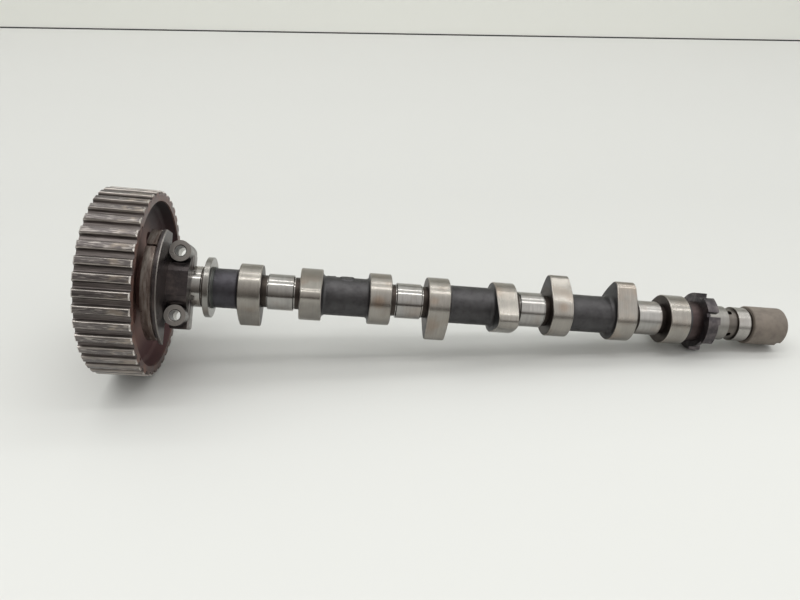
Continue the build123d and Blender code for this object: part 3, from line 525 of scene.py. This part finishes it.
# blotches 5 mm across
blotch = add(tree, "TexNoise", {"Vector": place, "Scale": 0.2, "Detail": 4.0})
skin = add(tree, "ValToRGB", {"Fac": blotch.outputs["Fac"]}, [
    (0.3, linear("#3A373A")), (0.5, linear("#4B4749")), (0.7, linear("#656060"))])
tree.links.new(skin.outputs["Color"], shader.inputs["Base Color"])
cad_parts["trigger_ring"].data.materials[0] = oxide


# ---------- table and wall ----------
# A pale laminate table top stands against a plain wall, and a thin dark strip at the foot of the wall is painted
# shade in the crease between them.
# None of them is part of the object.

table_front = -0.75                         # in metres, as are the next ones
table_back = 1.51
table_skew = -0.0587                        # the wall isn't quite parallel to the shaft
table_half_width = 3.5
crease_shade_height = 0.0033
crease_shade_proud = 0.001                         # how far the strip of painted shade stands out from the wall
wall_height = 1.6
wall_drop = 0.1                             # how far the wall goes on below the table top


def flat_sheet(name, corner, side, rise):
    """A flat rectangle from one corner along two sides."""
    sheet = bmesh.new()
    bmesh.ops.create_grid(sheet, x_segments=1, y_segments=1, size=0.5)
    for vertex in sheet.verts:
        vertex.co = corner + side * (vertex.co.x + 0.5) + rise * (vertex.co.y + 0.5)
    mesh = bpy.data.meshes.new(name)
    sheet.to_mesh(mesh)
    sheet.free()
    piece = bpy.data.objects.new(name, mesh)
    bpy.context.scene.collection.objects.link(piece)
    return piece


laminate, tree, shader = new_finish("pale matt laminate", Roughness=0.55)
# painted light: the laminate is painted lighter towards the wall, and a little at its front, than near the
# shaft, for how brightly each part of the table is lit
coordinate = add(tree, "TexCoord")
depth = add(tree, "SeparateXYZ", {"Vector": coordinate.outputs["Object"]}).outputs["Y"]
farness = add(tree, "MapRange", {"Value": depth, 1: -0.15, 2: 1.5})
pale = add(tree, "ValToRGB", {"Fac": farness.outputs[0]}, [
    (0.03, linear("#D4D5D3")), (0.14, linear("#CCCDCB")), (0.27, linear("#CBCCCA")), (0.55, linear("#D2D3D1")),
    (1.0, linear("#E2E3E1"))])
tree.links.new(pale.outputs["Color"], shader.inputs["Base Color"])
shader.inputs["Specular IOR Level"].default_value = 0.25
along_wall = Vector((1.0, table_skew, 0.0)) * 2 * table_half_width
back_left = Vector((0.0, table_back, 0.0)) - along_wall / 2
table = flat_sheet("table_top", back_left, along_wall, Vector((0.0, table_front - table_back, 0.0)))
table.data.materials.append(laminate)

# painted shade: a dark strip at the foot of the wall, for the shade in the crease between table and wall
crease_shade_paint, _, shader = new_finish("painted crease shade", Roughness=0.8)
shader.inputs["Base Color"].default_value = linear("#3C3C3B")
crease_shade_strip = flat_sheet("wall_crease_shade", back_left - Vector((0.0, crease_shade_proud, 0.0)), along_wall,
                   Vector((0.0, 0.0, crease_shade_height)))
crease_shade_strip.data.materials.append(crease_shade_paint)

paint, _, shader = new_finish("matt wall paint", Roughness=0.8)
shader.inputs["Base Color"].default_value = linear("#F4F6F1")
wall = flat_sheet("wall", back_left - Vector((0.0, 0.0, wall_drop)), along_wall,
                  Vector((0.0, 0.0, wall_height)))
wall.data.materials.append(paint)


# ---------- lamps ----------
# Two long tube fittings hang over the table along the shaft, and show as thin lines on its journals.
# The room is bright overhead, behind the table and to the right, and dark on the near left.

lamp_height = 1.6
tube_length = 3.0
tube_width = 0.09
room_strength = 1.43
for name, lean, power in (("near_tubes", -9.0, 7.8), ("far_tubes", 17.0, 5.1)):
    lamp = bpy.data.lights.new(name, "AREA")
    lamp.shape = "RECTANGLE"
    lamp.size = tube_length
    lamp.size_y = tube_width
    lamp.energy = power
    lamp.color = linear("#FFFEFC")[:3]
    holder = bpy.data.objects.new(name, lamp)
    holder.location = (0.0, lamp_height * math.tan(math.radians(lean)), lamp_height)
    holder.rotation_euler = (math.radians(-lean), 0.0, 0.0)
    bpy.context.scene.collection.objects.link(holder)

world = bpy.data.worlds.new("room")
bpy.context.scene.world = world
world.use_nodes = True
tree = world.node_tree
background = tree.nodes["Background"]
direction = add(tree, "TexCoord")
split = add(tree, "SeparateXYZ", {"Vector": direction.outputs["Generated"]})
towards_front = add(tree, "Math", {0: split.outputs["Y"], 1: -1.0}, operation="MULTIPLY")
climb = add(tree, "Math", {0: split.outputs["Z"], 1: towards_front.outputs[0]}, operation="ARCTAN2")
turn = add(tree, "Math", {0: climb.outputs[0], 1: math.pi}, operation="DIVIDE")
# from the near horizon, 0, over the ceiling, 0.5, to the far horizon, 1
shaded_side = add(tree, "ValToRGB", {"Fac": turn.outputs[0]}, [
    (0.0, linear("#55514D")), (0.06, linear("#625D59")), (0.13, linear("#76716C")),
    (0.22, linear("#A09C99")), (0.33, linear("#BDBBB8")), (0.45, linear("#E6E6E3")),
    (0.62, linear("#F3F4F1")), (0.8, linear("#DCDDDA")), (1.0, linear("#C6C7C4"))])
open_side = add(tree, "ValToRGB", {"Fac": turn.outputs[0]}, [
    (0.0, linear("#4E4A47")), (0.035, linear("#5E5A57")), (0.09, linear("#EFEEEB")), (0.18, linear("#F8F7F5")),
    (0.33, linear("#EAE9E7")), (0.45, linear("#F0F0EE")), (0.62, linear("#F3F4F1")), (1.0, linear("#C6C7C4"))])
to_the_right = add(tree, "MapRange", {"Value": split.outputs["X"], 1: -0.09, 2: 0.44})
room = add(tree, "Mix", {0: to_the_right.outputs[0], 6: shaded_side.outputs["Color"],
                         7: open_side.outputs["Color"]}, data_type="RGBA")
tree.links.new(room.outputs[2], background.inputs["Color"])
background.inputs["Strength"].default_value = room_strength


# ---------- camera ----------
# In front of the shaft and above it, a little left of its middle, looking down and slightly to the right.
# Its turns are applied in the order roll, elevation, azimuth.

camera_place = Vector((-68.640, -365.210, 263.859)) * MM
camera_azimuth = math.radians(-4.237)
camera_elevation = math.radians(31.0)
camera_roll = math.radians(1.087)

camera = bpy.data.objects.new("camera", bpy.data.cameras.new("camera"))
camera.data.sensor_width = 36.0             # in mm, as the lens is
camera.data.lens = 28.142
camera.data.clip_start = 0.01
camera.data.clip_end = 20.0
camera.matrix_world = (
    Matrix.Translation(camera_place) @ Matrix.Rotation(camera_azimuth, 4, "Z")
    @ Matrix.Rotation(math.pi / 2 - camera_elevation, 4, "X") @ Matrix.Rotation(camera_roll, 4, "Z"))
bpy.context.scene.collection.objects.link(camera)
bpy.context.scene.camera = camera
bpy.context.scene.view_settings.view_transform = "Standard"
